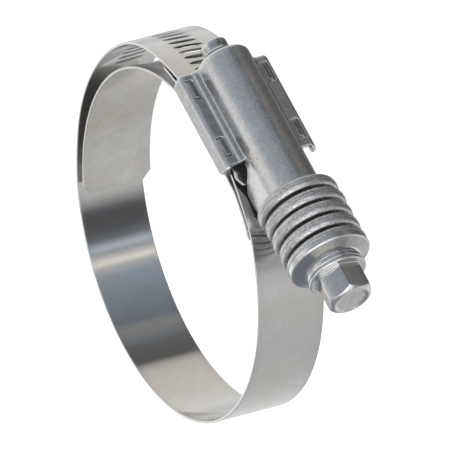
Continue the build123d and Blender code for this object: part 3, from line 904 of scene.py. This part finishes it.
for x in np.arange(WORM_FROM, WORM_TO - 0.2, 0.11):
    at = ((x - WORM_FROM) / PITCH - turns + 0.25) % 1.0
    ridge = np.clip((0.30 - np.abs(at - 0.5)) / 0.12, 0, 1)
    ridge = ridge * ridge * (3 - 2 * ridge)
    grow = np.clip((x - WORM_FROM) / 1.4, 0, 1) * np.clip((WORM_TO - 0.6 - x) / 1.6, 0, 1)
    crest = CREST + 0.55 * np.clip((-9.6 - x) / 0.8, 0, 1)
    row(x, WORM_R + (crest - WORM_R) * ridge * grow)
row(WORM_TO - 0.1, WORM_R)
row(WORM_TO, WORM_R)
row(WORM_TO + 0.5, SHANK_R, 0.6)
row(WORM_TO + 0.6, SHANK_R)
row(HEAD_BACK - 0.15, SHANK_R)
body, _ = profile(
    [(HEAD_BACK, SHANK_R), (HEAD_BACK, RIM_R), (RIM_FRONT, RIM_R), (CONE_FRONT, CONE_R + 0.20),
     (CONE_FRONT + 0.22, CONE_R - 0.38), (CONE_FRONT + 0.42, CONE_R - 0.38),
     (CONE_FRONT + 0.62, CONE_R + 0.02), (COLLAR_FRONT - 0.15, COLLAR_R),
     (COLLAR_FRONT - 0.05, COLLAR_R - 0.42), (COLLAR_FRONT + 0.20, COLLAR_R - 0.42),
     (COLLAR_FRONT + 0.30, FACE_R), (FACE_FRONT, FACE_R), (FACE_FRONT, 5.0)],
    [0, 0.14, 0.42, 0.15, 0.08, 0.08, 0.22, 0.22, 0.06, 0.06, 0.2, 0.45, 0], False, seg=5)
last = None
for x, r in body[:-1]:
    if last is not None and np.hypot(x - last[0], r - last[1]) > 0.5:
        gx, gr = (np.array([x, r]) - last) / np.hypot(x - last[0], r - last[1]) * 0.08
        cone_shade = 0.0
        # Painted shade on the cone between rim and collar, darkest on one side, standing in for the
        # dark surroundings it mirrors there.
        if RIM_FRONT < (x + last[0]) / 2 < CONE_FRONT:
            cone_shade = -0.36 - 0.32 * np.clip(np.cos(phi + math.radians(15)), 0, 1) ** 2
        row(last[0] + gx, last[1] + gr, cone_shade)
        row(x - gx, r - gr, cone_shade)
    row(x, r, 0.3)
    last = np.array([x, r])
row(FACE_FRONT - 0.0, 6.0)
row(FACE_FRONT - 0.0, hexr + 0.22)
row(FACE_FRONT + 0.05, hexr + 0.08)
# Painted shade on the hexagon's flats: all a little darker, the flat facing HEX_TURN + 30 degrees
# darkest.
facet_shade = -0.12 - 0.28 * np.clip(np.cos(phi - math.radians(HEX_TURN + 30)), 0, 1) ** 6
row(FACE_FRONT + 0.20, hexr, facet_shade)
row(FACE_FRONT + 0.32, hexr, facet_shade)


def soft_min(a, b, k=0.07):
    return -k * np.log(np.exp(-a / k) + np.exp(-b / k))


crown_in, crown_out, crown_len = 3.90, 1.66, 2.5
row(HEX_FRONT - 3.3, hexr, facet_shade)
row(HEX_FRONT - crown_len - 0.02, hexr, facet_shade)
for t in np.linspace(0, 84, 25):
    t = math.radians(t)
    turn_off = crown_in + crown_out * math.cos(t)
    row(HEX_FRONT - crown_len * (1 - math.sin(t)), soft_min(hexr, turn_off),
        np.where(turn_off < hexr - 0.03, 0.4, facet_shade))
row(HEX_FRONT, crown_in, 0.7)
for x, r in ((-0.01, 3.80), (-0.06, 3.66), (-0.17, 3.55), (-0.25, 3.42), (-0.28, 3.25),
             (-0.28, 2.6), (-0.28, 1.8), (-0.28, 1.0), (-0.28, 0.001)):
    row(HEX_FRONT + x, r, 0.0)

X = np.stack([q[0] for q in rows])
R = np.stack([q[1] for q in rows])
V = np.stack([X, AXIS_Y + R * c_phi, R * s_phi], -1)
dv = np.gradient(V, axis=0)
du = (np.roll(V, -1, axis=1) - np.roll(V, 1, axis=1))
fwd = np.zeros_like(V)
fwd[:-1] += unit(V[1:] - V[:-1])
fwd[1:] += unit(V[1:] - V[:-1])
N = unit(np.cross(du, fwd))
radial = np.stack([0 * X, c_phi + 0 * X, s_phi + 0 * X], -1)
N = np.where((N * radial).sum(-1, keepdims=True) < -0.999, radial, N)
m = len(rows)
flip = np.sign((N[m // 2] * radial[m // 2]).sum(-1).mean())
N *= flip
N[0] = N[1] = [-1, 0, 0]
N[-1] = [1, 0, 0]
s_len = np.concatenate([[0], np.cumsum(np.hypot(np.diff(X[:, 0]), np.diff(R[:, 0])))])
UV = np.stack([np.tile(phi * 6, (m, 1)), np.tile(s_len[:, None], (1, count))], -1)
F = [(i * count + j, i * count + (j + 1) % count, (i + 1) * count + (j + 1) % count,
      (i + 1) * count + j) for i in range(m - 1) for j in range(count)]
E = np.concatenate([np.broadcast_to(q[2], count) for q in rows])
screw = mesh("hex_head_screw", V.reshape(-1, 3), F, N.reshape(-1, 3), UV.reshape(-1, 2), SCREW, E)

# ------------------------------------------------------------- what rides on what
for ob, node, body_name in ((band, "band", "clamp"), (liner, "liner", "clamp"),
                            (housing, "housing", "clamp"), (saddle, "saddle", "clamp"),
                            (thrust, "thrust_washer", "clamp"), (screw, "screw", "screw")):
    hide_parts(node)
    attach(ob, body_name)
for i, (ob, x) in enumerate(springs):
    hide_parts(f"spring_washer_{i + 1}")
    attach(ob, f"spring_washer_{i + 1}")
    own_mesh(ob)

# ------------------------------------------------------------------ floor, light
floor_tilt = math.atan2(11.55 - 7.94, 41.0 + 41.0)


def floor_z(y):
    return -7.94 - math.tan(floor_tilt) * (y + 41.0)


fm, nt, bsdf = node_mat("paper_floor")
g = G(nt)
paper = g.noise(g.obj((1, 1, 1)), 900, 3.0, 0.6)
g.link(g.mix(g.span(paper, 0.3, 0.7, 0, 1), (0.90, 0.90, 0.895), (0.93, 0.93, 0.925)),
       bsdf.inputs["Base Color"])
bsdf.inputs["Roughness"].default_value = 0.9
bsdf.inputs["Specular IOR Level"].default_value = 0.1
bsdf.inputs["Emission Color"].default_value = (1.0, 1.0, 1.0, 1)
bsdf.inputs["Emission Strength"].default_value = 0.80
bpy.ops.mesh.primitive_plane_add(size=30)
floor = bpy.context.object
floor.name = "floor"
floor.data.materials.append(fm)
floor.rotation_euler = (-floor_tilt, 0, 0)
floor.location = (0, 0, (floor_z(OY) - 0.02) / 1000)
floor.visible_glossy = False

# A studio of pale and dark panels round the clamp, seen only in the metal.
world = bpy.data.worlds.new("studio")
bpy.context.scene.world = world
world.use_nodes = True
nt = world.node_tree
g = G(nt)
COOL, WARM, GREY = (0.90, 1.0, 1.12), (1.05, 1.0, 0.94), (1.0, 1.0, 1.0)
BLUE = (0.82, 0.99, 1.19)


def panels(fac, stops):
    n = g.node("ShaderNodeValToRGB")
    e = n.color_ramp.elements
    while len(e) < len(stops):
        e.new(0.5)
    for el, (deg, v, tint) in zip(e, stops):
        el.position = deg / 360
        el.color = (*(v * c for c in tint), 1)
    g.link(fac, n.inputs[0])
    return n.outputs[0]


way = g.node("ShaderNodeTexCoord").outputs["Generated"]
sep = g.node("ShaderNodeSeparateXYZ")
g.link(way, sep.inputs[0])
wx, wy, wz = sep.outputs
low = g.math("FRACT", g.math("ADD", g.math("DIVIDE", g.math("ARCTAN2", wy, wx), 2 * math.pi), 1.0), 0)
around = panels(low, [
    (0, 0.62, GREY), (12, 0.68, GREY), (22, 0.62, GREY), (27, 0.44, GREY), (33, 0.10, COOL),
    (37, 0.055, COOL), (46, 0.07, COOL), (52, 0.17, COOL), (57, 0.66, COOL), (60, 0.38, COOL),
    (66, 1.00, WARM), (69, 0.56, GREY), (75, 0.37, BLUE), (90, 0.265, BLUE), (105, 0.175, BLUE),
    (110, 0.26, GREY), (119, 0.19, COOL), (123, 0.115, GREY), (136, 0.085, GREY),
    (139, 0.42, WARM), (143, 0.62, WARM), (152, 0.70, WARM), (170, 0.77, WARM),
    (194, 0.90, GREY), (205, 0.71, GREY), (240, 0.79, GREY), (262, 0.80, GREY),
    (300, 0.61, GREY), (322, 0.575, GREY), (345, 0.59, GREY), (360, 0.62, GREY)])
tilt = g.math("FRACT", g.math("ADD", g.math("DIVIDE", g.math("ARCTAN2", wz, wy), 2 * math.pi), 1.0), 0)
above = panels(tilt, [
    (0, 0.37, COOL), (12, 0.44, COOL), (50, 0.49, COOL), (60, 0.58, COOL), (72, 0.78, GREY),
    (85, 1.03, GREY), (104, 0.98, GREY), (114, 0.72, GREY), (126, 0.76, GREY),
    (142, 1.25, GREY), (165, 1.22, GREY),
    (180, 0.80, GREY), (205, 0.42, GREY), (235, 0.26, GREY), (262, 0.11, WARM),
    (285, 0.13, WARM), (300, 0.19, WARM), (312, 0.25, WARM), (325, 0.25, COOL), (345, 0.29, COOL),
    (360, 0.37, COOL)])
ahead = panels(tilt, [
    (0, 1.35, GREY), (50, 1.1, GREY), (105, 0.57, GREY), (145, 0.31, COOL), (195, 0.29, COOL),
    (208, 0.36, GREY), (217, 0.80, GREY), (240, 0.95, GREY), (275, 0.70, GREY),
    (305, 0.40, GREY), (335, 0.72, GREY), (360, 1.35, GREY)])
beam = g.node("ShaderNodeVectorMath", operation="DOT_PRODUCT")
beam.inputs[1].default_value = Vector((0.985, -0.165, -0.06)).normalized()
g.link(way, beam.inputs[0])
ahead = g.mix(g.span(beam.outputs["Value"], 0.968, 0.990, 0, 1), ahead, (0.92, 0.87, 0.80))
above = g.mix(g.span(wx, -0.95, -0.74, 1, 0), above, (1.0, 1.0, 1.0))
above = g.mix(g.span(wx, -0.22, 0.10, 0, 1), above, ahead)
belt = g.math("MULTIPLY", g.span(wz, -0.58, -0.52, 0, 1), g.span(wz, -0.36, -0.28, 1, 0))
room = g.mix(belt, above, around)
lamp = g.node("ShaderNodeVectorMath", operation="DOT_PRODUCT")
lamp.inputs[1].default_value = Vector((0.62, 0.50, 0.60)).normalized()
g.link(way, lamp.inputs[0])
spot = g.span(lamp.outputs["Value"], 0.90, 0.965, 0, 1)
g.link(g.mix(spot, room, (2.4, 2.4, 2.4)), nt.nodes["Background"].inputs[0])
nt.nodes["Background"].inputs[1].default_value = 1.0

cam_data = bpy.data.cameras.new("camera")
cam = bpy.data.objects.new("camera", cam_data)
bpy.context.scene.collection.objects.link(cam)
right, up, back = (0.4229, 0.2296, -0.8766), (-0.7828, 0.5798, -0.2258), (0.4565, 0.7817, 0.4249)
m4 = Matrix([[right[i], up[i], back[i]] for i in range(3)]).to_4x4()
m4.translation = Vector((1.5645 - OX / 1000, 2.6783 - OY / 1000, 1.4496))
cam.matrix_world = m4
cam_data.sensor_width = 36
cam_data.lens = 1277.8
cam_data.clip_end = 60
bpy.context.scene.camera = cam
view = bpy.context.scene.view_settings
view.view_transform = "Standard"
view.use_curve_mapping = True
view.curve_mapping.black_level = (-0.004, -0.004, -0.005)
view.curve_mapping.update()
